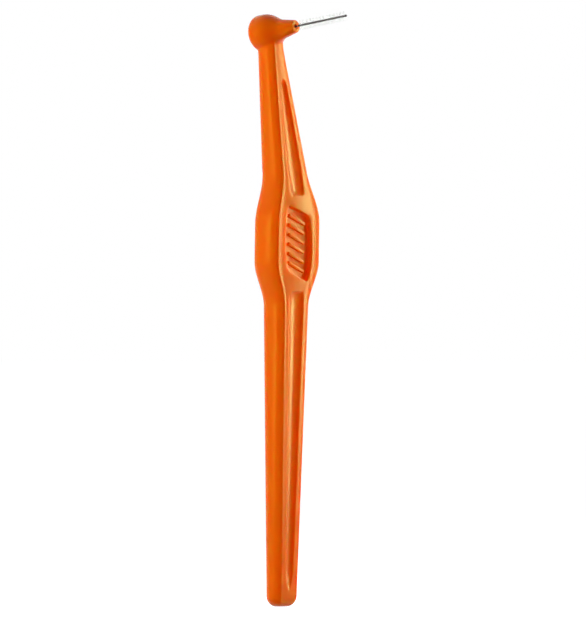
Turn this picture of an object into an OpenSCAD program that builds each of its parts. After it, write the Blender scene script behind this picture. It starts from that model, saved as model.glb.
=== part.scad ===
// Interdental brush: a slim moulded handle whose neck leans back to a round head, and a
// twisted wire brush that leaves the nose of the head at a right angle to the neck.
// +Z runs up the handle, +X is the way the wire points, and the origin is at the middle of
// the handle's end.

/* [Handle length] */
// Length of the tail, from the end of the handle to where the grip begins to swell
tail_l = 78.5; // [60:0.5:100]
// Length over which the grip swells to its full width
grip_rise_l = 12; // [9:0.5:16]
// Length of the grip at its full width
grip_flat_l = 10; // [7:0.5:14]
// Length over which the grip narrows into the neck
grip_fall_l = 14; // [10:0.5:18]
// Length of the neck, from the grip to the underside of the head
neck_l = 31.5; // [26:0.5:42]
// Lean of the tail towards the front, in degrees
tail_tilt = 1.15; // [0:0.1:3]
// Lean of the neck towards the back, in degrees
neck_tilt = 8.4; // [4:0.1:14]

/* [Handle width and depth] */
// Width of the tail at its end
end_w = 7.1; // [6:0.1:8.5]
// Width of the tail where it meets the grip
tail_w = 10.5; // [8.8:0.1:12.5]
// Width of the grip
grip_w = 17.6; // [15:0.1:20]
// Width of the neck where it meets the grip
neck_w = 10.5; // [9:0.1:12.5]
// Width of the neck under the head
throat_w = 4.5; // [3.8:0.1:5.2]
// Depth of the tail at its end, from front to back
end_d = 5; // [4.4:0.1:6.5]
// Depth of the tail where it meets the grip
tail_d = 7.2; // [6:0.1:9]
// Depth of the grip
grip_d = 8.1; // [6.8:0.1:10]
// Depth of the neck where it meets the grip
neck_d = 7.15; // [6:0.05:9]
// Depth of the neck under the head
throat_d = 5.7; // [4.8:0.1:6.5]
// How far each ridge between a broad face and a side rounds onto the broad face
ridge_face_w = 1; // [0.6:0.05:1.3]
// How far each ridge between a broad face and a side rounds onto the side
ridge_side_w = 1.75; // [1:0.05:2]
// Outward swell of the sides at their middle
side_crown = 0.45; // [0.2:0.05:0.8]
// Outward swell of the broad faces at the middle of the grip
face_crown = 0.35; // [0.1:0.05:0.6]
// Height of the rounded end of the handle
end_round_h = 2.7; // [2:0.1:3.2]
// Width of the flat spot under the rounded end
end_flat_w = 2.6; // [1.6:0.1:3]
// Depth of the flat spot under the rounded end
end_flat_d = 1.6; // [0.8:0.1:2]

/* [Channels] */
// Depth of the channels in the front and back faces at their wide end
channel_d = 0.8; // [0.4:0.05:1.3]
// Lip beside the tail's channel at its wide end
tail_lip_w = 2.65; // [2:0.05:3.2]
// Lip beside the tail's channel at its narrow end
tail_tip_lip_w = 2.35; // [1.8:0.05:2.6]
// Lip beside the neck's channel at its wide end
neck_lip_w = 2.9; // [2:0.05:3.4]
// Lip beside the neck's channel at its narrow end
neck_tip_lip_w = 1.9; // [1.5:0.05:2.1]
// Distance from the end of the handle to the narrow end of the tail's channel
tail_margin = 3.6; // [3.3:0.1:8]
// Distance from the narrow end of the neck's channel to the underside of the head
throat_margin = 7.6; // [5:0.1:10]
// Length of the round end of a channel
channel_round_l = 2.2; // [1.6:0.1:3]
// Length over which the tail's channel fades out at its narrow end
tail_tip_l = 6; // [4:0.5:10]
// Length over which the neck's channel fades out at its narrow end
neck_tip_l = 2; // [1.5:0.1:4]

/* [Pocket in the grip] */
// Distance of the pocket's middle below the middle of the grip
pocket_lower = 0.4; // [0:0.1:1]
// Length of the pocket at its middle
pocket_l = 17.4; // [14:0.2:20]
// Width of the pocket at its ends
pocket_end_w = 8.2; // [6:0.1:9]
// Outward bow of each long side of the pocket
pocket_bow = 1.2; // [0.4:0.05:1.6]
// Depth of the pocket
pocket_depth = 1.3; // [0.8:0.1:1.8]
// Slant of the pocket's ends and of its ribs, in degrees
pocket_slant = 20; // [0:1:25]
// Radius of the pocket's corners
pocket_corner_r = 1.2; // [0.6:0.1:1.8]
// Plain face left between the pocket and each channel
land_l = 3.85; // [3:0.05:5]
// Number of grip ribs on the pocket's floor
rib_count = 6; // [3:1:7]
// Width of one rib
rib_w = 0.8; // [0.5:0.05:1]
// Height of one rib above the pocket's floor
rib_h = 0.55; // [0.3:0.05:0.7]

/* [Head] */
// Radius of the round head
head_r = 4.9; // [4.4:0.1:5.4]
// Distance from the neck's centre line back to the middle of the head
head_back = 2; // [1.4:0.1:2.6]
// Height of the middle of the head above the top of the neck
head_rise = 4.35; // [3.8:0.05:4.8]
// Upward tilt of the nose and of the wire, in degrees
head_tilt = 8.5; // [0:0.1:15]
// Length of the nose, from the middle of the head to its end
nose_l = 10.9; // [9.4:0.1:13]
// Radius of the nose at its end
nose_r = 1.65; // [1.3:0.05:2]
// Length of the cylindrical band round the middle of the head
barrel_l = 2; // [1.4:0.1:2.6]
// Length of the dome at the back of the head
dome_l = 2.2; // [1.6:0.1:3.2]
// Length of the shoulder that draws the head in to the nose
shoulder_l = 6.8; // [5.5:0.1:7.6]
// Slope of the nose's side, in degrees
nose_taper = 11.5; // [6:0.5:14]
// Radius of the dimple in the end of the nose
dimple_r = 0.65; // [0.5:0.05:0.9]
// Depth of the dimple in the end of the nose
dimple_d = 0.9; // [0.4:0.1:1.4]

/* [Wire] */
// Diameter of the coated wire
wire_dia = 0.2; // [0.16:0.01:0.26]
// Gap between the two legs of the wire, which holds the filaments
leg_gap = 0.09; // [0.08:0.01:0.12]
// Length of one full turn of the twist
twist_pitch = 2.3; // [1.8:0.1:3]
// Length of the wire outside the nose
wire_out_l = 17.5; // [13:0.1:22]
// Length of the wire buried in the nose, below the dimple
wire_in_l = 5; // [3:0.1:6]
// Clearance between the twisted wire and its hole
wire_clearance = 0.01; // [0.005:0.005:0.03]

/* [Filaments] */
// Overall diameter of the brush
brush_dia = 2.7; // [2:0.1:4]
// Bare length of wire between the nose and the first filament
bare_l = 1.2; // [0.5:0.1:3]
// Number of filament ends, half of them on each side of the wire
strand_count = 340; // [300:20:400]
// Thickness of a filament
strand_dia = 0.06; // [0.05:0.005:0.07]

/* [Hidden] */
$fn = 64;
cut_over = 1;
quarter = 90;
half_turn = 180;
full_turn = 360;

function mix(a, b, t) = a + (b - a) * t;
function clamp01(t) = min(1, max(0, t));
function ease(t) = let (c = clamp01(t)) c * c * (3 - 2 * c);
function between(a, b, n) = [for (i = [0 : n - 1]) mix(a, b, i / n)];

// Heights of the handle's stretches
grip_full_z = tail_l + grip_rise_l;
grip_fall_z = grip_full_z + grip_flat_l;
neck_z = grip_fall_z + grip_fall_l;
throat_z = neck_z + neck_l;
pocket_z = grip_full_z + grip_flat_l / 2 - pocket_lower;

// The centre line: straight up the tail, then bent back through the top of the grip
bend_share = 0.44;
bend_reach_share = 0.4;
bend_z = mix(grip_fall_z, neck_z, bend_share);
bend_reach = grip_fall_l * bend_reach_share;
function bent(s) = s < -bend_reach ? 0
    : s > bend_reach ? s
    : (s + bend_reach) * (s + bend_reach) / (4 * bend_reach);
function spine_x(z) = tan(tail_tilt) * z
    - (tan(tail_tilt) + tan(neck_tilt)) * bent(z - bend_z);

// Width and depth of the handle at height z
function tail_at(a, b, z) = mix(a, b, clamp01(z / tail_l));
function neck_at(a, b, z) = mix(a, b, clamp01((z - neck_z) / neck_l));
function along(end_s, tail_s, grip_s, neck_s, throat_s, z) = z < pocket_z
    ? mix(tail_at(end_s, tail_s, z), grip_s, ease((z - tail_l) / grip_rise_l))
    : mix(grip_s, neck_at(neck_s, throat_s, z), ease((z - grip_fall_z) / grip_fall_l));
function width_at(z) = along(end_w, tail_w, grip_w, neck_w, throat_w, z);
function depth_at(z) = along(end_d, tail_d, grip_d, neck_d, throat_d, z);

// The tip of the neck flares a little where it runs into the head
flare_l = head_r / 2;
flare_share = 0.1;
neck_end_z = throat_z + head_rise / 2;
function flare_at(z) = 1 + flare_share * ease((z - throat_z + flare_l) / (2 * flare_l));

// Channels: where each begins and ends, and how wide and deep it is at height z. Past its
// narrow end a channel has no depth and keeps the width that it has there.
tail_tip_z = tail_margin;
tail_round_z = pocket_z - pocket_l / 2 - land_l;
neck_round_z = pocket_z + pocket_l / 2 + land_l;
neck_tip_z = throat_z - throat_margin;
tip_depth_share = 0.85;
round_width_share = 0.7;
tip_width_share = 0.35;
function arc_in(t) = let (c = clamp01(t)) sqrt(1 - (1 - c) * (1 - c));
function is_tail(z) = z < pocket_z;
function run_share(z) = is_tail(z)
    ? clamp01((z - tail_tip_z) / (tail_round_z - tail_tip_z))
    : clamp01((neck_tip_z - z) / (neck_tip_z - neck_round_z));
function round_in(z) = is_tail(z)
    ? arc_in((tail_round_z - z) / channel_round_l)
    : arc_in((z - neck_round_z) / channel_round_l);
function tip_in(z) = is_tail(z)
    ? ease((z - tail_tip_z) / tail_tip_l)
    : ease((neck_tip_z - z) / neck_tip_l);
function lip_at(z) = is_tail(z)
    ? mix(tail_tip_lip_w, tail_lip_w, run_share(z))
    : mix(neck_tip_lip_w, neck_lip_w, run_share(z));
function channel_depth_at(z) = channel_d * mix(tip_depth_share, 1, run_share(z))
    * round_in(z) * tip_in(z);
function plain_width_at(z) = is_tail(z)
    ? tail_at(end_w, tail_w, max(z, tail_tip_z))
    : neck_at(neck_w, throat_w, min(z, neck_tip_z));
function channel_width_at(z) = (plain_width_at(z) - 2 * lip_at(z))
    * mix(round_width_share, 1, round_in(z)) * mix(tip_width_share, 1, tip_in(z));

// The rounded end: the outline draws in from its full size to the flat spot
function end_in(z) = arc_in(z / end_round_h);
function half_width_at(z) = mix(end_flat_w, width_at(z), end_in(z)) / 2;
function half_depth_at(z) = mix(end_flat_d, depth_at(z), end_in(z)) / 2;

// Each broad face swells a little at its middle, in proportion to its width
function crown_at(z) = face_crown * width_at(z) / grip_w * end_in(z);
function crowned(crown, hw, v) = crown * (1 - v * v / (hw * hw));

// One quarter of the outline, from the middle of a broad face to the middle of a side.
// Each point is [towards the face, towards the side].
groove_steps = 5;
ridge_steps = 4;
side_steps = 2;
function groove_points(hd, hw, gw, gd, crown) = [for (i = [0 : groove_steps])
    let (a = quarter * i / groove_steps, v = gw * sin(a))
    [hd + crowned(crown, hw, v) - gd * cos(a), v]];
// An arc from a to b that leaves and meets them along the lines to the corner c
function conic(a, c, b, t) =
    let (p = (1 - t) * (1 - t), q = 2 * t * (1 - t) * sin(half_turn / 4), r = t * t)
    (p * a + q * c + r * b) / (p + q + r);
function ridge_points(face_end, corner, side_end) = [for (i = [0 : ridge_steps])
    conic(face_end, corner, side_end, i / ridge_steps)];
function side_points(hd, hw, low, crown) = [for (i = [1 : side_steps])
    let (u = low * (1 - i / side_steps)) [u, hw + crowned(crown, hd, u)]];
function quarter_points(z) =
    let (
        f = flare_at(z),
        hw = half_width_at(z) * f,
        hd = half_depth_at(z) * f,
        full_w = hw * 2 / width_at(z),
        full_d = hd * 2 / depth_at(z),
        outer = hw - ridge_face_w * full_w,
        low = hd - ridge_side_w * full_d,
        crown = crown_at(z),
        swell = side_crown * end_in(z)
    )
    concat(
        groove_points(hd, hw, channel_width_at(z) / 2 * full_w / f, channel_depth_at(z), crown),
        ridge_points(
            [hd + crowned(crown, hw, outer), outer],
            [hd, hw],
            [low, hw + crowned(swell, hd, low)]
        ),
        side_points(hd, hw, low, swell)
    );

// A whole outline, counted round from the front towards +Y
quarter_n = groove_steps + ridge_steps + side_steps + 2;
ring_n = 4 * quarter_n - 4;
function ring_points(z) =
    let (q = quarter_points(z), x = spine_x(z), last = quarter_n - 1)
    concat(
        [for (i = [0 : 1 : last]) [x + q[i][0], q[i][1], z]],
        [for (i = [last - 1 : -1 : 0]) [x - q[i][0], q[i][1], z]],
        [for (i = [1 : 1 : last]) [x - q[i][0], -q[i][1], z]],
        [for (i = [last - 1 : -1 : 1]) [x + q[i][0], -q[i][1], z]]
    );

// Heights of the outlines that the handle is drawn through
end_rings = 5;
ring_zs = concat(
    [for (i = [0 : end_rings - 1]) end_round_h * (1 - cos(quarter * i / end_rings))],
    [end_round_h],
    between(tail_tip_z, tail_tip_z + tail_tip_l, 4),
    between(tail_tip_z + tail_tip_l, tail_round_z - channel_round_l, 8),
    between(tail_round_z - channel_round_l, tail_round_z, 4),
    between(tail_round_z, pocket_z, 6),
    between(pocket_z, neck_round_z, 6),
    between(neck_round_z, neck_round_z + channel_round_l, 4),
    between(neck_round_z + channel_round_l, neck_tip_z - neck_tip_l, 5),
    between(neck_tip_z - neck_tip_l, neck_tip_z, 3),
    between(neck_tip_z, throat_z - flare_l, 2),
    between(throat_z - flare_l, neck_end_z, 5),
    [neck_end_z]
);

// Side faces of a tube of outlines with n points each, as triangles
function tube_faces(rings, n) = [for (i = [0 : rings - 2], j = [0 : n - 1])
    let (a = i * n + j, b = i * n + (j + 1) % n)
    each [[a, a + n, b], [b, a + n, b + n]]];
function first_cap(n) = [[for (j = [0 : n - 1]) j]];
function last_cap(rings, n) = [[for (j = [n - 1 : -1 : 0]) (rings - 1) * n + j]];

// The two ends of the handle are fans of triangles round a point on the centre line
body_ring_n = len(ring_zs);
low_hub = body_ring_n * ring_n;
function hub(z) = [spine_x(z), 0, z];
function low_fan() = [for (j = [0 : ring_n - 1]) [low_hub, j, (j + 1) % ring_n]];
function high_fan() = [for (j = [0 : ring_n - 1])
    let (a = (body_ring_n - 1) * ring_n) [low_hub + 1, a + (j + 1) % ring_n, a + j]];

module handle_body() {
    polyhedron(
        points = concat(
            [for (z = ring_zs) each ring_points(z)],
            [hub(0), hub(neck_end_z)]
        ),
        faces = concat(low_fan(), tube_faces(body_ring_n, ring_n), high_fan()),
        convexity = 6
    );
}

// Head and wire: their own axis starts in the middle of the head and leaves through the nose
head_x = spine_x(throat_z) - head_back;
head_z = throat_z + head_rise;
module on_wire_axis() {
    translate([head_x, 0, head_z])
        rotate([0, quarter - head_tilt, 0])
            children();
}

// Outline of the head and nose, turned round the wire's axis
dome_steps = 8;
shoulder_steps = 12;
function cone_r(t) = nose_r + (nose_l - t) * tan(nose_taper);
function nose_side_r(t) = mix(head_r, cone_r(t), ease((t - barrel_l / 2) / shoulder_l));
dome_power_share = 0.86;
head_outline = concat(
    [for (i = [0 : dome_steps]) let (a = quarter * i / dome_steps)
        [head_r * pow(sin(a), dome_power_share),
        -barrel_l / 2 - dome_l * pow(cos(a), dome_power_share)]],
    [for (i = [0 : shoulder_steps]) let (t = barrel_l / 2 + shoulder_l * i / shoulder_steps)
        [nose_side_r(t), t]],
    [[nose_r, nose_l], [0, nose_l]]
);

twist_r = leg_gap / 2 + wire_dia;
bore_r = twist_r + wire_clearance;
bore_floor = nose_l - dimple_d - wire_in_l;

module head() {
    on_wire_axis()
        rotate_extrude()
            polygon(head_outline);
}

module wire_hole() {
    on_wire_axis() {
        translate([0, 0, bore_floor])
            cylinder(h = nose_l - bore_floor, r = bore_r);
        translate([0, 0, nose_l - dimple_d])
            cylinder(h = dimple_d + cut_over, r = dimple_r);
    }
}

// Pocket: long sides bowed outwards, ends slanted, and the four corners rounded alike.
// Its own frame has +X out of the face and lies on the front of the grip.
bow_steps = 6;
corner_steps = 3;
pocket_drop = tan(pocket_slant);
function pocket_side(s) = let (y = pocket_end_w / 2 + pocket_bow * (1 - s * s))
    [y, s * pocket_l / 2 - y * pocket_drop];
corner_share = 2 * pocket_corner_r / pocket_l;
end_corner = pocket_side(1);
low_corner = pocket_side(-1);
function bezier(a, b, c, t) = mix(mix(a, b, t), mix(b, c, t), t);
upper_in = [end_corner[0] - pocket_corner_r, end_corner[1] + pocket_corner_r * pocket_drop];
lower_in = [low_corner[0] - pocket_corner_r, low_corner[1] + pocket_corner_r * pocket_drop];
right_half = concat(
    [for (i = [0 : corner_steps - 1])
        bezier(lower_in, low_corner, pocket_side(-1 + corner_share), i / corner_steps)],
    [for (i = [0 : bow_steps]) pocket_side((1 - corner_share) * (2 * i / bow_steps - 1))],
    [for (i = [1 : corner_steps])
        bezier(pocket_side(1 - corner_share), end_corner, upper_in, i / corner_steps)]
);
pocket_outline = concat(right_half, [for (p = right_half) -p]);
rib_pitch = pocket_l / (rib_count + 1);
rib_l = pocket_end_w - 2 * rib_w;

module on_grip_face() {
    translate([spine_x(pocket_z) + depth_at(pocket_z) / 2 + crown_at(pocket_z), 0, pocket_z])
        rotate([0, tail_tilt, 0])
            children();
}

module pocket() {
    on_grip_face()
        translate([-pocket_depth, 0, 0])
            rotate([quarter, 0, quarter])
                linear_extrude(height = pocket_depth + cut_over)
                    polygon(pocket_outline);
}

module ribs() {
    on_grip_face()
        for (i = [1 : rib_count])
            translate([-pocket_depth - rib_h, 0, i * rib_pitch - pocket_l / 2])
                rotate([-pocket_slant, 0, 0])
                    translate([0, -rib_l / 2, -rib_w / 2])
                        cube([2 * rib_h, rib_l, rib_w]);
}

module handle() {
    color([0.9, 0.42, 0.04]) {
        difference() {
            union() {
                handle_body();
                head();
            }
            pocket();
            wire_hole();
        }
        ribs();
    }
}

// Twisted wire: up one leg, round the fold at the tip and back down the other leg.
// Each step of the path is [place, outward direction, direction of travel].
wire_sides = 6;
turn_steps = 12;
fold_steps = 5;
leg_offset = (wire_dia + leg_gap) / 2;
fold_z = nose_l + wire_out_l - leg_offset - wire_dia / 2;
wire_l = fold_z - bore_floor;
leg_steps = ceil(wire_l / twist_pitch * turn_steps);
function twist_angle(z) = full_turn * (z - fold_z) / twist_pitch;
function ray(a) = [cos(a), sin(a), 0];
function unit(v) = v / norm(v);
function leg_step(z, side) =
    let (a = twist_angle(z), turn = full_turn / twist_pitch * PI / half_turn * leg_offset)
    [
        side * leg_offset * ray(a) + [0, 0, z],
        side * ray(a),
        unit(turn * ray(a + quarter) + side * [0, 0, 1])
    ];
function fold_step(b) = [
    leg_offset * [cos(b), 0, sin(b)] + [0, 0, fold_z],
    [cos(b), 0, sin(b)],
    [-sin(b), 0, cos(b)]
];
wire_path = concat(
    [for (i = [0 : leg_steps - 1]) leg_step(bore_floor + wire_l * i / leg_steps, 1)],
    [for (i = [0 : fold_steps]) fold_step(half_turn * i / fold_steps)],
    [for (i = [leg_steps - 1 : -1 : 0]) leg_step(bore_floor + wire_l * i / leg_steps, -1)]
);
function wire_ring(step) =
    let (b = cross(step[2], step[1]))
    [for (j = [0 : wire_sides - 1])
        let (a = full_turn * j / wire_sides)
        step[0] + wire_dia / 2 * (cos(a) * step[1] + sin(a) * b)];

module core_wire() {
    color([0.17, 0.13, 0.12])
        on_wire_axis()
            polyhedron(
                points = [for (s = wire_path) each wire_ring(s)],
                faces = concat(
                    first_cap(wire_sides),
                    tube_faces(len(wire_path), wire_sides),
                    last_cap(len(wire_path), wire_sides)
                ),
                convexity = 10
            );
}

// Filaments: each crosses the gap between the legs, so their middles form one thin twisted
// strip, and a filament end grows out of each edge of the strip at every second step.
strip_share = 0.78;
strip_t = leg_gap * strip_share;
strip_w = wire_dia;
tip_share = 0.6;
sway_deg = 4;
trim_share = 0.04;
station_n = strand_count / 2;
brush_low = nose_l + bare_l;
brush_l = fold_z - brush_low;
station_l = brush_l / station_n;
strip_ring_n = 2 * station_n;
function strip_ring_z(i) = brush_low + station_l * floor(i / 2) + (i % 2) * strand_dia;
function strip_ring(i) =
    let (z = strip_ring_z(i), a = twist_angle(z), u = ray(a) * strip_t / 2,
        v = ray(a + quarter) * strip_w / 2, c = [0, 0, z])
    [c + u - v, c + u + v, c - u + v, c - u - v];
scatter_deg = 137;
side_deg = 61;
function wave(k, side) = sin(k * scatter_deg + side * side_deg);
function strand_tip(k, side) =
    let (
        z = brush_low + station_l * k + strand_dia / 2,
        a = twist_angle(z) + side * quarter + sway_deg * wave(k, side),
        reach = brush_dia / 2 * (1 - trim_share * (1 + wave(2 * k, side)) / 2),
        c = reach * ray(a) + [0, 0, z],
        s = ray(a + quarter) * strand_dia / 2 * tip_share,
        w = [0, 0, strand_dia / 2 * tip_share]
    )
    [c - s - w, c + s - w, c + s + w, c - s + w];
function strand_root(k, side) =
    let (r = 8 * k)
    side > 0 ? [r + 1, r + 2, r + 6, r + 5] : [r + 3, r, r + 4, r + 7];
tip_from = 4 * strip_ring_n;
function strand_faces(k, side) =
    let (b = strand_root(k, side), t = tip_from + 8 * k + (side > 0 ? 0 : 4))
    concat(
        [for (j = [0 : 3]) let (n = (j + 1) % 4) each [[b[j], t + j, b[n]], [b[n], t + j, t + n]]],
        [[t, t + 3, t + 2], [t, t + 2, t + 1]]
    );
function strip_faces(i) = let (a = 4 * i) [for (j = [0 : 3])
    if (j % 2 == 0 || i % 2 == 1)
        let (p = a + j, q = a + (j + 1) % 4)
        each [[p, p + 4, q], [q, p + 4, q + 4]]];

module filaments() {
    color([0.93, 0.93, 0.9])
        on_wire_axis()
            polyhedron(
                points = concat(
                    [for (i = [0 : strip_ring_n - 1]) each strip_ring(i)],
                    [for (k = [0 : station_n - 1], side = [1, -1]) each strand_tip(k, side)]
                ),
                faces = concat(
                    first_cap(4),
                    [for (i = [0 : strip_ring_n - 2]) each strip_faces(i)],
                    [for (k = [0 : station_n - 1], side = [1, -1]) each strand_faces(k, side)],
                    last_cap(strip_ring_n, 4)
                ),
                convexity = 10
            );
}

handle();
core_wire();
filaments();
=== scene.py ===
import math
import random

import bmesh
import bpy
from mathutils import Matrix, Vector


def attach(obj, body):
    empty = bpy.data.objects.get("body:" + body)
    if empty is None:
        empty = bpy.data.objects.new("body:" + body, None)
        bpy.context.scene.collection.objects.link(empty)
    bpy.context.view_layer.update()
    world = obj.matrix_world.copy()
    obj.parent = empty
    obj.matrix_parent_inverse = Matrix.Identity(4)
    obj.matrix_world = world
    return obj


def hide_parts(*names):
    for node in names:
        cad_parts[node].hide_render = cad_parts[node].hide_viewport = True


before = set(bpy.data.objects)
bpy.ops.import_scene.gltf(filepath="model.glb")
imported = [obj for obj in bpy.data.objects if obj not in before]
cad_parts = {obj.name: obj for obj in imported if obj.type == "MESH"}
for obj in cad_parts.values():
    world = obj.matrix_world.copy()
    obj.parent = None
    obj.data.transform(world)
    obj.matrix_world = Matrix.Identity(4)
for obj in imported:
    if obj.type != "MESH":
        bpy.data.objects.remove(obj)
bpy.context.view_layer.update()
# Shapes, camera and lamps are in millimetres and degrees; lengths in the materials are in metres
mm = 0.001
tiny = 1e-6  # a length below this counts as none
scene = bpy.context.scene
scene.view_settings.view_transform = "Standard"
print("frame loaded")


# Small sums that several pieces use

def mix(a, b, t):
    return a + (b - a) * t


def clamp01(t):
    return min(1, max(0, t))


def ease(t):
    c = clamp01(t)
    return c * c * (3 - 2 * c)


def arcIn(t):
    c = clamp01(t)
    return math.sqrt(1 - (1 - c) ** 2)


def tanDeg(angle):
    return math.tan(math.radians(angle))


# Camera, placed as the photograph was taken

camera = {
    "azimuth": 40,          # round from the handle's side towards its front
    "aimRight": 3.16,       # the image's middle, to the right of the handle's end
    "aimHeight": 78.08,
    "frameHeight": 161.65,  # what the image takes in from bottom to top
    "lens": 800,            # a long lens from far off: the photograph shows next to no perspective
    "sensor": 36,
    "clip": (0.05, 20),     # in metres
}
turn = math.radians(camera["azimuth"])
imageRight = Vector((math.cos(turn), math.sin(turn), 0))
towardsCamera = Vector((math.sin(turn), -math.cos(turn), 0))
upwards = Vector((0, 0, 1))


def placeCamera(s):
    data = bpy.data.cameras.new("studioCamera")
    data.lens = s["lens"]
    data.sensor_width = s["sensor"]
    data.clip_start, data.clip_end = s["clip"]
    item = bpy.data.objects.new("studioCamera", data)
    scene.collection.objects.link(item)
    distance = s["frameHeight"] * s["lens"] / s["sensor"]
    aim = imageRight * s["aimRight"] + upwards * s["aimHeight"]
    item.location = (aim + towardsCamera * distance) * mm
    item.rotation_euler = (-towardsCamera).to_track_quat("-Z", "Y").to_euler()
    scene.camera = item


placeCamera(camera)
print("camera placed")


# Materials

def startMaterial(name, colour, roughness):
    material = bpy.data.materials.new(name)
    material.use_nodes = True
    tree = material.node_tree
    shader = tree.nodes["Principled BSDF"]
    shader.inputs["Base Color"].default_value = (*colour, 1)
    shader.inputs["Roughness"].default_value = roughness
    return material, tree, shader


def noiseOn(tree, scale, detail, stretch=(1, 1, 1)):
    place = tree.nodes.new("ShaderNodeTexCoord")
    mapping = tree.nodes.new("ShaderNodeMapping")
    mapping.inputs["Scale"].default_value = stretch
    noise = tree.nodes.new("ShaderNodeTexNoise")
    noise.inputs["Scale"].default_value = scale
    noise.inputs["Detail"].default_value = detail
    tree.links.new(place.outputs["Object"], mapping.inputs["Vector"])
    tree.links.new(mapping.outputs["Vector"], noise.inputs["Vector"])
    return noise.outputs["Fac"]


def colourBetween(tree, share, low, high, target):
    blend = tree.nodes.new("ShaderNodeMix")
    blend.data_type = "RGBA"
    blend.inputs["A"].default_value = (*low, 1)
    blend.inputs["B"].default_value = (*high, 1)
    tree.links.new(share, blend.inputs["Factor"])
    tree.links.new(blend.outputs["Result"], target)


def valueBetween(tree, share, low, high, target):
    span = tree.nodes.new("ShaderNodeMapRange")
    span.inputs["To Min"].default_value = low
    span.inputs["To Max"].default_value = high
    tree.links.new(share, span.inputs["Value"])
    tree.links.new(span.outputs["Result"], target)


def bumpFrom(tree, share, depth, strength, shader):
    bump = tree.nodes.new("ShaderNodeBump")
    bump.inputs["Distance"].default_value = depth
    bump.inputs["Strength"].default_value = strength
    tree.links.new(share, bump.inputs["Height"])
    tree.links.new(bump.outputs["Normal"], shader.inputs["Normal"])


plastic = {
    "colour": (0.90, 0.150, 0.001),      # the moulding's orange
    "paler": (0.93, 0.165, 0.0015),      # where the melt is a little thinner in colour
    "streakScale": 30,
    "streakStretch": (1, 1, 0.25),
    "roughLow": 0.14,
    "roughHigh": 0.19,
    "roughScale": 420,
    "grainScale": 5200,                  # the fine grain of the mould's steel
    "grainDepth": 0.000012,
    "grainStrength": 0.35,
    "glow": 1.0,                         # light that soaks in and comes out redder
    "glowRadius": (1.0, 0.11, 0.01),
    "glowScale": 0.0055,
    "ior": 1.46,
    "gloss": 0.2,                        # weak, so that the white surround doesn't veil the colour
    "glossTint": (0.7, 0.45, 0.03),      # orange, for the same reason
}


def orangePlastic(s):
    material, tree, shader = startMaterial("orangePolypropylene", s["colour"], s["roughLow"])
    colourBetween(tree, noiseOn(tree, s["streakScale"], detail=2, stretch=s["streakStretch"]),
                  s["colour"], s["paler"], shader.inputs["Base Color"])
    valueBetween(tree, noiseOn(tree, s["roughScale"], detail=3), s["roughLow"], s["roughHigh"],
                 shader.inputs["Roughness"])
    grain = noiseOn(tree, s["grainScale"], detail=2)
    bumpFrom(tree, grain, s["grainDepth"], s["grainStrength"], shader)
    shader.inputs["Subsurface Weight"].default_value = s["glow"]
    shader.inputs["Subsurface Radius"].default_value = s["glowRadius"]
    shader.inputs["Subsurface Scale"].default_value = s["glowScale"]
    shader.inputs["IOR"].default_value = s["ior"]
    shader.inputs["Specular IOR Level"].default_value = s["gloss"]
    shader.inputs["Specular Tint"].default_value = (*s["glossTint"], 1)
    return material


coat = {
    "colour": (0.018, 0.004, 0.003),    # dark brown coat over the steel
    "worn": (0.045, 0.012, 0.009),
    "patchScale": 1500,
    "roughLow": 0.45,
    "roughHigh": 0.6,
    "gloss": 0.02,
    "drawnScale": 9000,
    "drawnDepth": 0.000004,
    "drawnStrength": 0.3,
}


def darkCoat(s):
    material, tree, shader = startMaterial("coatedSteel", s["colour"], s["roughLow"])
    patches = noiseOn(tree, s["patchScale"], detail=2)
    colourBetween(tree, patches, s["colour"], s["worn"], shader.inputs["Base Color"])
    valueBetween(tree, patches, s["roughLow"], s["roughHigh"], shader.inputs["Roughness"])
    lines = noiseOn(tree, s["drawnScale"], detail=1)
    bumpFrom(tree, lines, s["drawnDepth"], s["drawnStrength"], shader)
    shader.inputs["Specular IOR Level"].default_value = s["gloss"]
    return material


nylon = {
    "colour": (0.97, 0.97, 0.95),
    "cloudier": (0.99, 0.99, 0.98),
    "cloudScale": 900,
    "roughLow": 0.15,
    "roughHigh": 0.3,
    "clear": 0.88,
    "ior": 1.53,
}


def clearNylon(s):
    material, tree, shader = startMaterial("clearNylon", s["colour"], s["roughLow"])
    clouds = noiseOn(tree, s["cloudScale"], detail=1)
    colourBetween(tree, clouds, s["colour"], s["cloudier"], shader.inputs["Base Color"])
    valueBetween(tree, clouds, s["roughLow"], s["roughHigh"], shader.inputs["Roughness"])
    shader.inputs["Transmission Weight"].default_value = s["clear"]
    shader.inputs["IOR"].default_value = s["ior"]
    return material


orange = orangePlastic(plastic)
coated = darkCoat(coat)
clear = clearNylon(nylon)
print("materials made")


# Meshes are drawn in millimetres and made metres here

def toObject(name, shape, material=None, scale=mm):
    bmesh.ops.scale(shape, vec=(scale, scale, scale), verts=shape.verts)
    mesh = bpy.data.meshes.new(name)
    shape.to_mesh(mesh)
    shape.free()
    item = bpy.data.objects.new(name, mesh)
    scene.collection.objects.link(item)
    if material:
        mesh.materials.append(material)
    return item


def combine(target, operation, tool):
    modifier = target.modifiers.new(operation, "BOOLEAN")
    modifier.operation = operation
    modifier.solver = "MANIFOLD"
    modifier.object = tool
    bpy.context.view_layer.update()
    graph = bpy.context.evaluated_depsgraph_get()
    joined = bpy.data.meshes.new_from_object(target.evaluated_get(graph))
    target.modifiers.remove(modifier)
    target.data = joined
    bpy.data.objects.remove(tool)


# Handle: its outlines, from the end to the underside of the head

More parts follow.
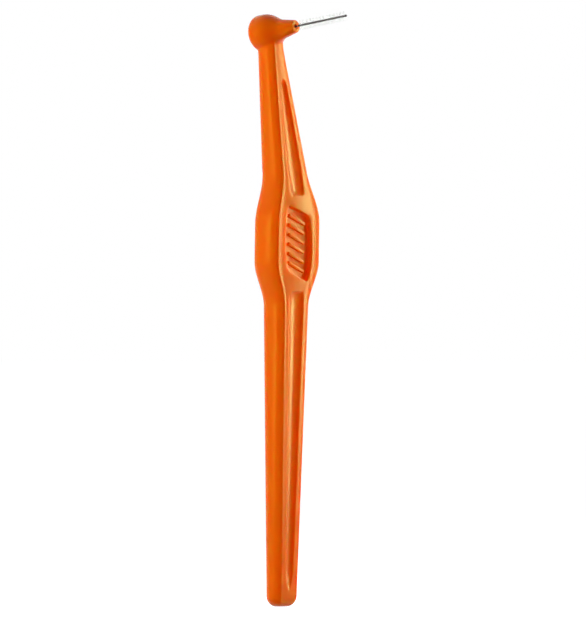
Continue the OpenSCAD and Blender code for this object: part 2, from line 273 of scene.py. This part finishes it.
handle = {
    "tail": 78.5, "gripRise": 12, "gripFlat": 10, "gripFall": 14, "neck": 31.5,
    "tailTilt": 1.15, "neckTilt": 8.4, "bendShare": 0.44, "bendReachShare": 0.4,
    "widths": (7.1, 10.5, 17.6, 10.5, 4.5),  # end, top of tail, grip, foot of neck, throat
    "depths": (5.0, 7.2, 8.1, 7.15, 5.7),
    "ridgeFace": 1.0, "ridgeSide": 1.75,     # how far a ridge rounds onto the face and the side
    "crispFace": 0.6,                        # the front face's ridges are crisper
    "beadWidth": 0.5, "beadSlope": 0.22,     # and a slight bead runs along their inner side
    "sideCrown": 0.45, "faceCrownShare": 0.35 / 17.6,
    "endRound": 2.7, "endFlat": (2.6, 1.6),
    "flareReach": 2.4, "flareShare": 0.03,
    # How many facets each stretch gets, round a ring and up the handle
    "ringSteps": {"groove": 10, "edge": 4, "lip": 3, "ridge": 7, "side": 5},
    "heightSteps": {"end": 12, "margin": 2, "tailTip": 18, "tail": 40, "foot": 4, "round": 16,
                    "grip": 40, "neck": 32, "neckTip": 10, "throat": 8, "flare": 18},
    "footMargin": 1,
    "sharpAngle": 48,                        # edges that turn more than this stay sharp
}
channel = {
    "depth": 0.8, "tipDepthShare": 0.85, "edge": 0.3,
    "tailLips": (2.35, 2.65), "neckLips": (1.9, 2.9),  # at the narrow end and at the wide end
    "tailFrom": 3.6, "throatMargin": 7.6, "round": 2.2, "tailTip": 6, "neckTip": 2,
    "roundWidthShare": 0.7, "tipWidthShare": 0.35, "lipFrom": 0.15,
}
pocket = {
    "length": 17.4, "endWidth": 8.2, "bow": 1.2, "depth": 1.3, "slant": 20, "corner": 1.2,
    "land": 3.85, "drop": 0.4, "rim": 0.22, "fillet": 0.3, "wallIn": 0.02, "above": 1.5,
    "roundSteps": 4, "cornerSteps": 6, "bowCuts": 11, "ribRoundSteps": 4, "roundProfile": 0.5,
    "sameWithin": 0.001,
    "ribs": 6, "ribWidth": 0.8, "ribHeight": 0.55, "ribRound": 0.24,
}
head = {
    "radius": 4.8, "back": 2, "rise": 4.35, "tilt": 8.5,
    "nose": 10.9, "noseRadius": 1.65, "barrel": 1.4, "dome": 2.6, "shoulder": 6.0, "taper": 11.5,
    "domePower": 0.95, "dimpleRadius": 0.65, "dimpleDepth": 0.9, "rimRound": 0.28,
    "dimpleRound": 0.12, "holeRadius": 0.34, "holeDepth": 0.7,
    "domeSteps": 16, "shoulderSteps": 26, "rimSteps": 5, "dimpleSteps": 4, "around": 112,
    "mergeWithin": 0.001,
    "blend": 0.4, "blendShare": 0.85, "blendSmooth": 4, "sliver": 0.01,
    "riseShare": 0.25, "swellRounds": 3, "seamShare": 0.6, "seamSmooth": 0.5,
    "probeSteps": 4, "noseFree": 1,
}

gripFullZ = handle["tail"] + handle["gripRise"]
gripFallZ = gripFullZ + handle["gripFlat"]
neckZ = gripFallZ + handle["gripFall"]
throatZ = neckZ + handle["neck"]
pocketZ = gripFullZ + handle["gripFlat"] / 2 - pocket["drop"]
neckEndZ = throatZ + head["rise"] / 2
tailRoundZ = pocketZ - pocket["length"] / 2 - pocket["land"]
neckRoundZ = pocketZ + pocket["length"] / 2 + pocket["land"]
neckTipZ = throatZ - channel["throatMargin"]


def spineX(z):
    # The middle of the handle leans forward up to the bend, and back above it
    reach = handle["gripFall"] * handle["bendReachShare"]
    past = z - mix(gripFallZ, neckZ, handle["bendShare"])
    if past < -reach:
        bent = 0
    elif past > reach:
        bent = past
    else:
        bent = (past + reach) ** 2 / (4 * reach)
    back = tanDeg(handle["tailTilt"]) + tanDeg(handle["neckTilt"])
    return tanDeg(handle["tailTilt"]) * z - back * bent


def sizeAt(sizes, z):
    end, tail, grip, neck, throat = sizes
    if z < pocketZ:
        return mix(mix(end, tail, clamp01(z / handle["tail"])), grip,
                   ease((z - handle["tail"]) / handle["gripRise"]))
    return mix(grip, mix(neck, throat, clamp01((z - neckZ) / handle["neck"])),
               ease((z - gripFallZ) / handle["gripFall"]))


def grooveAt(z):
    # Half width and depth of the channel at height z, and how far z lies past its narrow end
    onTail = z < pocketZ
    end, tail, _, neck, throat = handle["widths"]
    tip, wide = channel["tailLips"] if onTail else channel["neckLips"]
    if onTail:
        run = clamp01((z - channel["tailFrom"]) / (tailRoundZ - channel["tailFrom"]))
        roundIn = arcIn((tailRoundZ - z) / channel["round"])
        past = channel["tailFrom"] - z
        tipIn = ease(-past / channel["tailTip"])
        plain = mix(end, tail, clamp01((z + max(past, 0)) / handle["tail"]))
    else:
        run = clamp01((neckTipZ - z) / (neckTipZ - neckRoundZ))
        roundIn = arcIn((z - neckRoundZ) / channel["round"])
        past = z - neckTipZ
        tipIn = ease(-past / channel["neckTip"])
        plain = mix(neck, throat, clamp01((z - max(past, 0) - neckZ) / handle["neck"]))
    depth = channel["depth"] * mix(channel["tipDepthShare"], 1, run) * roundIn * tipIn
    width = (plain - 2 * mix(tip, wide, run)) * mix(channel["roundWidthShare"], 1, roundIn)
    return width * mix(channel["tipWidthShare"], 1, tipIn) / 2, depth, past


def roundedCorner(a, corner, b, steps):
    # An arc from a to b, tangent to the lines that meet at the corner
    weight = math.sqrt(0.5)  # makes it a quarter ellipse where the corner is right-angled
    points = []
    for i in range(steps + 1):
        t = i / steps
        parts = ((1 - t) ** 2, 2 * t * (1 - t) * weight, t * t)
        total = sum(parts)
        points.append(tuple(sum(p * q[k] for p, q in zip(parts, (a, corner, b))) / total
                            for k in (0, 1)))
    return points


def quarterOutline(z, front=True):
    # From the middle of a broad face to the middle of a side, as (towards face, towards side)
    s, steps = handle, handle["ringSteps"]
    endIn = arcIn(z / s["endRound"])
    flare = 1 + s["flareShare"] * ease((z - throatZ + s["flareReach"]) / (2 * s["flareReach"]))
    width, depth = sizeAt(s["widths"], z), sizeAt(s["depths"], z)
    halfWidth = mix(s["endFlat"][0], width, endIn) / 2 * flare
    halfDepth = mix(s["endFlat"][1], depth, endIn) / 2 * flare
    crown = s["faceCrownShare"] * width * endIn
    sideCrown = s["sideCrown"] * endIn
    full = 2 * halfWidth / width
    outer = halfWidth - s["crispFace" if front else "ridgeFace"] * full
    low = halfDepth - s["ridgeSide"] * 2 * halfDepth / depth
    grooveHalf, grooveDepth, past = grooveAt(z)
    grooveHalf *= full / flare
    # Past its tip the channel has no depth, and its points spread evenly over the face
    grooveHalf = mix(grooveHalf, outer / 2, ease(past / channel["neckTip"]))
    edge = min(channel["edge"], grooveDepth / 2)

    beadFrom = outer - s["beadWidth"] * full
    beadSlope = s["beadSlope"] * endIn if front else 0

    def face(v):
        return halfDepth + crown * (1 - (v / halfWidth) ** 2) + beadSlope * max(0, v - beadFrom)

    def side(u):
        return halfWidth + sideCrown * (1 - (u / halfDepth) ** 2)

    lowest = math.acos(edge / grooveDepth) if grooveDepth > tiny else math.pi / 2
    points = []
    for i in range(steps["groove"]):
        a = lowest * i / steps["groove"]
        v = grooveHalf * math.sin(a)
        points.append((face(v) - grooveDepth * math.cos(a), v))
    wall = grooveHalf * math.sin(lowest)
    lip = grooveHalf + max(edge, channel["lipFrom"])
    points += roundedCorner((face(wall) - edge, wall), (face(grooveHalf), grooveHalf),
                            (face(lip), lip), steps["edge"])
    for i in range(1, steps["lip"] + 1):
        v = mix(lip, beadFrom, i / steps["lip"])
        points.append((face(v), v))
    lift = beadSlope / 2 * (halfWidth - outer)
    points += roundedCorner((face(outer), outer), (face(outer) + lift, halfWidth),
                            (low, side(low)), steps["ridge"])
    for i in range(1, steps["side"] + 1):
        u = low * (1 - i / steps["side"])
        points.append((u, side(u)))
    return points


def outlineAt(z):
    x = spineX(z)
    front = [(x + u, v) for u, v in quarterOutline(z)]
    back = [(x - u, v) for u, v in quarterOutline(z, False)[-2::-1]]
    right = front + back
    left = [(u, -v) for u, v in right[-2:0:-1]]
    return [Vector((u, v, z)) for u, v in right + left]


def spread(a, b, count):
    return [mix(a, b, i / count) for i in range(count)]


def arcSpread(start, length, count, reverse=False):
    # Heights that lie closest at the start, or at the end if reversed
    if reverse:
        return [start - length * (1 - math.cos(math.pi / 2 * (1 - i / count))) for i in range(count)]
    return [start + length * (1 - math.cos(math.pi / 2 * i / count)) for i in range(count)]


def ringHeights():
    n = handle["heightSteps"]
    tip = channel["tailFrom"] + channel["tailTip"]
    foot = handle["tail"] - handle["footMargin"]
    roundZ = tailRoundZ - channel["round"]
    neckFull = neckRoundZ + channel["round"]
    tipStart = neckTipZ - channel["neckTip"]
    low = throatZ - handle["flareReach"]
    return (arcSpread(0, handle["endRound"], n["end"])
            + spread(handle["endRound"], channel["tailFrom"], n["margin"])
            + spread(channel["tailFrom"], tip, n["tailTip"]) + spread(tip, foot, n["tail"])
            + spread(foot, roundZ, n["foot"])
            + arcSpread(tailRoundZ, channel["round"], n["round"], True)
            + spread(tailRoundZ, neckRoundZ, n["grip"])
            + arcSpread(neckRoundZ, channel["round"], n["round"])
            + spread(neckFull, tipStart, n["neck"]) + spread(tipStart, neckTipZ, n["neckTip"])
            + spread(neckTipZ, low, n["throat"]) + spread(low, neckEndZ, n["flare"]) + [neckEndZ])


def toRing(ring, points):
    for vert, point in zip(ring, points):
        vert.co = point


def closeOn(shape, ring, point):
    # Draws a ring of edges in to one point
    made = bmesh.ops.extrude_edge_only(shape, edges=ringEdges(ring))
    inner = [v for v in made["geom"] if isinstance(v, bmesh.types.BMVert)]
    bmesh.ops.pointmerge(shape, verts=inner, merge_co=point)


def ringEdges(ring):
    return [shapeEdge(a, b) for a, b in zip(ring, ring[1:] + ring[:1])]


def shapeEdge(a, b):
    return next(e for e in a.link_edges if e.other_vert(a) is b)


def nextRing(shape, ring):
    made = bmesh.ops.extrude_edge_only(shape, edges=ringEdges(ring))["geom"]
    fresh = {v for v in made if isinstance(v, bmesh.types.BMVert)}
    # Each new vertex hangs from the old one by the edge between them
    return [next(e.other_vert(v) for e in v.link_edges if e.other_vert(v) in fresh) for v in ring]


def drawBody():
    heights = ringHeights()
    shape = bmesh.new()
    start = outlineAt(heights[0])
    ring = bmesh.ops.create_circle(shape, segments=len(start), radius=1)["verts"]
    first = ring
    toRing(ring, start)
    for z in heights[1:]:
        ring = nextRing(shape, ring)
        toRing(ring, outlineAt(z))
    closeOn(shape, first, (spineX(0), 0, 0))
    closeOn(shape, ring, (spineX(neckEndZ), 0, neckEndZ))
    bmesh.ops.recalc_face_normals(shape, faces=shape.faces)
    return shape


# Head: one profile turned round the wire's axis

headCentre = Vector((spineX(throatZ) - head["back"], 0, throatZ + head["rise"]))
onWireAxis = (Matrix.Translation(headCentre)
              @ Matrix.Rotation(math.radians(90 - head["tilt"]), 4, "Y"))


def noseRadiusAt(t):
    s = head
    cone = s["noseRadius"] + (s["nose"] - t) * tanDeg(s["taper"])
    return mix(s["radius"], cone, ease((t - s["barrel"] / 2) / s["shoulder"]))


def headProfile():
    # From the back of the dome to the bottom of the wire's hole, as (radius, along the axis)
    s = head
    points = []
    for i in range(s["domeSteps"] + 1):
        a = math.pi / 2 * i / s["domeSteps"]
        points.append((s["radius"] * math.sin(a) ** s["domePower"],
                       -s["barrel"] / 2 - s["dome"] * max(0, math.cos(a)) ** s["domePower"]))
    straight = s["nose"] - s["rimRound"]
    for i in range(s["shoulderSteps"] + 1):
        t = mix(s["barrel"] / 2, straight, i / s["shoulderSteps"])
        points.append((noseRadiusAt(t), t))
    tip, inner = s["noseRadius"], s["dimpleRadius"]
    points += roundedCorner(points.pop(), (tip, s["nose"]), (tip - s["rimRound"], s["nose"]),
                            s["rimSteps"])
    points += roundedCorner((inner + s["dimpleRound"], s["nose"]), (inner, s["nose"]),
                            (inner, s["nose"] - s["dimpleRound"]), s["dimpleSteps"])
    floor = s["nose"] - s["dimpleDepth"]
    points += roundedCorner((inner, floor + 2 * s["dimpleRound"]), (inner, floor),
                            (inner - 2 * s["dimpleRound"], floor), s["dimpleSteps"])
    points += [(s["holeRadius"], floor - s["dimpleRound"] / 2),
               (s["holeRadius"], floor - s["holeDepth"]), (0, floor - s["holeDepth"])]
    return points


def drawHead():
    shape = bmesh.new()
    verts = [shape.verts.new((r, 0, t)) for r, t in headProfile()]
    edges = [shape.edges.new(pair) for pair in zip(verts, verts[1:])]
    bmesh.ops.spin(shape, geom=verts + edges, cent=(0, 0, 0), axis=(0, 0, 1), dvec=(0, 0, 0),
                   angle=2 * math.pi, steps=head["around"], use_merge=True)
    bmesh.ops.remove_doubles(shape, verts=shape.verts, dist=head["mergeWithin"])
    bmesh.ops.transform(shape, matrix=onWireAxis, verts=shape.verts)
    bmesh.ops.recalc_face_normals(shape, faces=shape.faces)
    return shape


def distanceToHead(point):
    # Above zero outside the head and below zero inside it; the nose's end counts as far away
    local = onWireAxis.inverted() @ point
    r, t = math.hypot(local.x, local.y), local.z
    if t > head["nose"] - head["noseFree"]:
        return head["radius"]
    nearest = min(math.hypot(r - a, t - b) for a, b in headShape)
    back = -head["barrel"] / 2
    if t < back:
        inside = (r / head["radius"]) ** 2 + ((back - t) / head["dome"]) ** 2 < 1
    else:
        inside = r < noseRadiusAt(t)
    return -nearest if inside else nearest


def distanceToNeck(point):
    # The same for the neck, and all that lies above the head's middle counts as far away
    if point.z > headCentre.z:
        return head["radius"]
    z = min(point.z, neckEndZ)
    corner = handle["ridgeFace"]
    quarter = quarterOutline(z)
    u = abs(point.x - spineX(z)) - quarter[0][0] + corner
    v = abs(point.y) - quarter[-1][1] + corner
    return math.hypot(max(u, 0), max(v, 0)) + min(max(u, v), 0) - corner


headShape = []
for first, second in zip(headProfile(), headProfile()[1:]):
    for share in spread(0, 1, head["probeSteps"]):
        headShape.append((mix(first[0], second[0], share), mix(first[1], second[1], share)))


def swell(shape, distance):
    # Raises each surface where the other is near, so that the two run into each other softly
    reach = head["blend"]
    highest = reach * head["riseShare"]
    shape.normal_update()
    moves = []
    for v in shape.verts:
        if v.co.z < throatZ - 2 * reach or v.co.z > headCentre.z:
            continue
        away = max(distance(v.co), highest)
        if away < reach:
            # The rise narrows the gap that it follows from, so it is worked out over again
            rise = 0
            for _ in range(head["swellRounds"]):
                rise = highest * (1 - (away - rise) / reach) ** 2
            moves.append((v, v.normal * rise * head["blendShare"]))
    for v, move in moves:
        v.co += move


# Pocket: a cutter with a rounded rim and a filleted floor, and the ribs that stand in it

def onGripFace(shape):
    # Lays a shape that was drawn on a flat face onto the crowned front of the grip
    for v in shape.verts:
        z = v.co.z + pocketZ
        width = sizeAt(handle["widths"], z)
        crown = handle["faceCrownShare"] * width * (1 - (2 * v.co.y / width) ** 2)
        v.co.x += spineX(z) + sizeAt(handle["depths"], z) / 2 + crown
        v.co.z = z


def drawPocket():
    s = pocket
    shape = bmesh.new()
    wide, drop, half = s["endWidth"] / 2, tanDeg(s["slant"]), s["length"] / 2
    shape.faces.new([shape.verts.new((0, y, k * half - y * drop))
                     for y, k in ((wide, -1), (wide, 1), (-wide, 1), (-wide, -1))])
    sides = [e for e in shape.edges if abs(e.verts[0].co.y - e.verts[1].co.y) < s["sameWithin"]]
    bmesh.ops.subdivide_edges(shape, edges=sides, cuts=s["bowCuts"])
    corners = []
    for v in shape.verts:
        y = v.co.y
        along = (v.co.z + y * drop) / half
        if abs(along) > 1 - s["sameWithin"]:
            corners.append(v)
        out = s["bow"] * (1 - along ** 2)
        v.co.y = math.copysign(abs(y) + out, y)
        v.co.z = along * half - v.co.y * drop
    bmesh.ops.dissolve_faces(shape, faces=shape.faces)
    bmesh.ops.bevel(shape, geom=corners, affect="VERTICES", offset=s["corner"],
                    segments=s["cornerSteps"], profile=s["roundProfile"], material=-1)
    bmesh.ops.recalc_face_normals(shape, faces=shape.faces)
    top = shape.faces[:]
    if top[0].normal.x > 0:
        bmesh.ops.reverse_faces(shape, faces=top)
    # Widen by the rim's radius, then step down through rim, wall and floor fillet
    cap = shape.faces[0]
    centre = cap.calc_center_median()
    for v in shape.verts:
        away = (v.co - centre).normalized()
        v.co += away * s["rim"]
        v.co.x = s["above"]
    floor = bmesh.ops.extrude_face_region(shape, geom=[cap])["geom"]
    bottom = next(f for f in floor if isinstance(f, bmesh.types.BMFace))
    bmesh.ops.translate(shape, vec=(-s["above"], 0, 0), verts=bottom.verts)
    steps = s["roundSteps"]

    def stepIn(inwards, down):
        bmesh.ops.inset_region(shape, faces=[bottom], thickness=inwards, depth=down,
                               use_even_offset=True)

    for i in range(steps):
        a, b = (math.pi / 2 * k / steps for k in (i, i + 1))
        stepIn(s["rim"] * (math.sin(b) - math.sin(a)), s["rim"] * (math.cos(a) - math.cos(b)))
    stepIn(s["wallIn"], s["depth"] - s["rim"] - s["fillet"])
    for i in range(steps):
        a, b = (math.pi / 2 * k / steps for k in (i, i + 1))
        stepIn(s["fillet"] * (math.cos(a) - math.cos(b)), s["fillet"] * (math.sin(b) - math.sin(a)))
    bmesh.ops.holes_fill(shape, edges=[e for e in shape.edges if e.is_boundary], sides=0)
    bmesh.ops.recalc_face_normals(shape, faces=shape.faces)
    onGripFace(shape)
    return shape


def drawRibs():
    s = pocket
    shape = bmesh.new()
    pitch = s["length"] / (s["ribs"] + 1)
    length = s["endWidth"] - 2 * s["ribWidth"]
    for i in range(s["ribs"]):
        place = (Matrix.Translation((-s["depth"], 0, (i + 1) * pitch - s["length"] / 2))
                 @ Matrix.Rotation(math.radians(-s["slant"]), 4, "X")
                 @ Matrix.Diagonal((2 * s["ribHeight"], length, s["ribWidth"], 1)))
        bmesh.ops.create_cube(shape, size=1, matrix=place)
    high = [e for e in shape.edges if all(v.co.x > -s["depth"] for v in e.verts)]
    bmesh.ops.bevel(shape, geom=high, affect="EDGES", offset=s["ribRound"],
                    segments=s["ribRoundSteps"], profile=s["roundProfile"], material=-1)
    onGripFace(shape)
    return shape


def softenNeck(item):
    # Clears the slivers that the joining left, and smooths the seam between neck and head
    shape = bmesh.new()
    shape.from_mesh(item.data)
    bmesh.ops.scale(shape, vec=(1 / mm,) * 3, verts=shape.verts)
    bmesh.ops.dissolve_degenerate(shape, dist=head["sliver"], edges=shape.edges)
    reach = head["blend"]
    near = reach * head["seamShare"]
    seam = [v for v in shape.verts if throatZ - reach < v.co.z < headCentre.z
            and abs(distanceToHead(v.co)) < near and abs(distanceToNeck(v.co)) < near]
    for _ in range(head["blendSmooth"]):
        bmesh.ops.smooth_vert(shape, verts=seam, factor=head["seamSmooth"], use_axis_x=True,
                              use_axis_y=True, use_axis_z=True)
    bmesh.ops.scale(shape, vec=(mm, mm, mm), verts=shape.verts)
    shape.to_mesh(item.data)
    shape.free()


def makeHandle():
    body, knob = drawBody(), drawHead()
    swell(body, distanceToHead)
    swell(knob, distanceToNeck)
    item = toObject("mouldedHandle", body, orange)
    combine(item, "DIFFERENCE", toObject("pocketCutter", drawPocket()))
    combine(item, "UNION", toObject("gripRibs", drawRibs()))
    combine(item, "UNION", toObject("knob", knob))
    softenNeck(item)
    item.data.materials.clear()
    item.data.materials.append(orange)
    item.data.shade_smooth()
    item.data.set_sharp_from_angle(angle=math.radians(handle["sharpAngle"]))
    return item


mouldedHandle = makeHandle()
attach(mouldedHandle, "root")
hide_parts("handle")
print("handle made", len(mouldedHandle.data.polygons), "faces")


# Wire: folded in two at the tip and twisted

wire = {
    # Each leg is thicker than the solid's 0.2 mm, to look darker
    "thickness": 0.28, "gap": 0.08, "pitch": 2.3, "outside": 17.5, "buried": 3.2,
    "sides": 14, "stepsPerTurn": 30, "foldSteps": 14, "mergeWithin": 0.002,
}
legOffset = (wire["thickness"] + wire["gap"]) / 2
foldZ = head["nose"] + wire["outside"] - legOffset - wire["thickness"] / 2
wireFoot = head["nose"] - head["dimpleDepth"] - wire["buried"]


def makeWire(s):
    shape = bmesh.new()
    length = foldZ - wireFoot
    turns = length / s["pitch"]
    lean = math.atan(2 * math.pi * legOffset / s["pitch"])
    steps = math.ceil(turns * s["stepsPerTurn"])
    for side in (1, -1):
        circle = bmesh.ops.create_circle(shape, segments=s["sides"], radius=s["thickness"] / 2,
                                         matrix=Matrix.Translation((side * legOffset, 0, foldZ)))
        ring = circle["verts"]
        # A level cut through a leaning leg is longer in the direction that it leans
        bmesh.ops.scale(shape, vec=(1, 1 / math.cos(lean), 1), verts=ring)
        edges = list({e for v in ring for e in v.link_edges})
        end = bmesh.ops.spin(shape, geom=ring + edges, cent=(0, 0, 0), axis=(0, 0, 1),
                             dvec=(0, 0, -length / steps), angle=-2 * math.pi * turns, steps=steps)
        last = [e for e in end["geom_last"] if isinstance(e, bmesh.types.BMEdge)]
        bmesh.ops.edgeloop_fill(shape, edges=last)
        if side > 0:
            bmesh.ops.spin(shape, geom=ring + edges, cent=(0, 0, foldZ), axis=(0, -1, 0),
                           dvec=(0, 0, 0), angle=math.pi, steps=s["foldSteps"])
    bmesh.ops.remove_doubles(shape, verts=shape.verts, dist=s["mergeWithin"])
    bmesh.ops.transform(shape, matrix=onWireAxis, verts=shape.verts)
    bmesh.ops.recalc_face_normals(shape, faces=shape.faces)
    item = toObject("twistedWire", shape, coated)
    item.data.shade_smooth()
    return item


twistedWire = makeWire(wire)
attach(twistedWire, "root")
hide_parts("core_wire")
print("wire made", len(twistedWire.data.polygons), "faces")


# Filaments: each lies across the wire, held between its legs, and reaches out on both sides

bristles = {
    "count": 300, "reach": 1.35, "thickness": 0.04, "tipShare": 0.7, "bare": 1.2, "trim": 0.08,
    "fan": 11, "lean": 5, "droop": 0.05, "sides": 4, "stations": 6, "seed": 11,
}


def drawFilament(s):
    # One filament along X, thinner towards its tips, with a slight bow
    shape = bmesh.new()
    ring = bmesh.ops.create_circle(shape, segments=s["sides"], radius=s["thickness"] / 2,
                                   matrix=Matrix.Rotation(math.pi / 2, 4, "Y"))["verts"]
    first = ring
    count = s["stations"]
    places = [2 * i / count - 1 for i in range(count + 1)]
    flat = [v.co.copy() for v in ring]

    def station(ring, along):
        size = mix(1, s["tipShare"], abs(along))
        toRing(ring, [Vector((along * s["reach"], p.y * size, p.z * size + s["droop"] * along ** 2))
                      for p in flat])

    station(ring, places[0])
    for along in places[1:]:
        ring = nextRing(shape, ring)
        station(ring, along)
    bmesh.ops.edgeloop_fill(shape, edges=ringEdges(first))
    bmesh.ops.edgeloop_fill(shape, edges=ringEdges(ring))
    bmesh.ops.recalc_face_normals(shape, faces=shape.faces)
    return shape


def makeBristles(s):
    dice = random.Random(s["seed"])
    single = bpy.data.meshes.new("filament")
    shape = drawFilament(s)
    shape.to_mesh(single)
    shape.free()
    low = head["nose"] + s["bare"]
    span = foldZ - low
    brush = bmesh.new()
    for i in range(s["count"]):
        z = low + span * (i + 0.5) / s["count"]
        # A quarter turn from the line through the two legs, so that it lies between them
        twist = 360 * (z - foldZ) / wire["pitch"] + 90 + dice.gauss(0, s["fan"])
        trim = 1 - s["trim"] * dice.random()
        place = (onWireAxis @ Matrix.Translation((0, 0, z))
                 @ Matrix.Rotation(math.radians(twist), 4, "Z")
                 @ Matrix.Rotation(math.radians(dice.gauss(0, s["lean"])), 4, "Y")
                 @ Matrix.Rotation(math.radians(dice.uniform(0, 360)), 4, "X")
                 @ Matrix.Diagonal((trim, 1, 1, 1)))
        before = len(brush.verts)
        brush.from_mesh(single)
        brush.verts.ensure_lookup_table()
        bmesh.ops.transform(brush, matrix=place, verts=brush.verts[before:])
    bpy.data.meshes.remove(single)
    item = toObject("nylonFilaments", brush, clear)
    item.data.shade_smooth()
    return item


nylonFilaments = makeBristles(bristles)
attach(nylonFilaments, "root")
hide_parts("filaments")
print("filaments made", len(nylonFilaments.data.polygons), "faces")


# Studio: a white surround and floor, and soft lamps

studio = {
    "floorSize": 60000,
    "floorColour": (0.5, 0.5, 0.5),
    "floorLift": 0.98,        # how much whiter the floor is seen than the lamps make it
    "surround": 0.06,         # what lights the object from all round
    "lampDistance": 720,
    "lamps": [
        # name, turn to the right of the camera, up, width, height, brightness, colour,
        # lights the surface, shows in gloss
        ("leftBroad", -80, 50, 520, 620, 6.2, (1, 1, 1), True, False),
        ("frontBroad", -15, 50, 400, 620, 1.3, (1, 1, 1), True, False),
        ("leftStrip", -70, 50, 110, 420, 11.5, (1, 1, 0.3), False, True),
        ("faceStrip", 108.7, 50, 205, 480, 17.0, (0.6, 1, 0.5), False, True),
        ("rightBroad", 110, 50, 400, 620, 11.8, (0.9, 1, 1), True, False),
    ],
    "aimHeight": 85,
}


def seenAsWhite(tree):
    # 1 for rays that come straight from the camera, or by way of gloss or clear material
    path = tree.nodes.new("ShaderNodeLightPath")
    either = path.outputs["Is Camera Ray"]
    for name in ("Is Glossy Ray", "Is Transmission Ray"):
        most = tree.nodes.new("ShaderNodeMath")
        most.operation = "MAXIMUM"
        tree.links.new(either, most.inputs[0])
        tree.links.new(path.outputs[name], most.inputs[1])
        either = most.outputs[0]
    return either


def litSurround(s):
    world = bpy.data.worlds.new("studioSurround")
    world.use_nodes = True
    scene.world = world
    tree = world.node_tree
    back = tree.nodes["Background"]
    back.inputs["Color"].default_value = (1, 1, 1, 1)
    valueBetween(tree, seenAsWhite(tree), s["surround"], 1, back.inputs["Strength"])


def paleFloor(s):
    material = bpy.data.materials.new("paleFloor")
    material.use_nodes = True
    tree = material.node_tree
    tree.nodes.remove(tree.nodes["Principled BSDF"])
    matte = tree.nodes.new("ShaderNodeBsdfDiffuse")
    matte.inputs["Color"].default_value = (*s["floorColour"], 1)
    glow = tree.nodes.new("ShaderNodeEmission")
    valueBetween(tree, seenAsWhite(tree), 0, s["floorLift"], glow.inputs["Strength"])
    both = tree.nodes.new("ShaderNodeAddShader")
    tree.links.new(matte.outputs[0], both.inputs[0])
    tree.links.new(glow.outputs[0], both.inputs[1])
    tree.links.new(both.outputs[0], tree.nodes["Material Output"].inputs["Surface"])
    return material


def makeFloor(s):
    shape = bmesh.new()
    bmesh.ops.create_grid(shape, x_segments=1, y_segments=1, size=s["floorSize"] / 2)
    floor = toObject("floor", shape, paleFloor(s))


def hangLamps(s):
    for name, side, up, width, height, brightness, colour, lights, shows in s["lamps"]:
        data = bpy.data.lights.new(name, "AREA")
        data.shape = "RECTANGLE"
        data.size, data.size_y = width * mm, height * mm
        data.energy = brightness * math.pi * data.size * data.size_y
        data.color = colour
        lamp = bpy.data.objects.new(name, data)
        lamp.visible_diffuse = lights
        lamp.visible_glossy = shows
        scene.collection.objects.link(lamp)
        aim = upwards * s["aimHeight"]
        around = math.radians(side)
        away = imageRight * math.sin(around) + towardsCamera * math.cos(around)
        place = aim + away * s["lampDistance"] + upwards * up
        lamp.location = place * mm
        lamp.rotation_euler = (aim - place).to_track_quat("-Z", "Y").to_euler()


litSurround(studio)
makeFloor(studio)
hangLamps(studio)
print("studio lit")
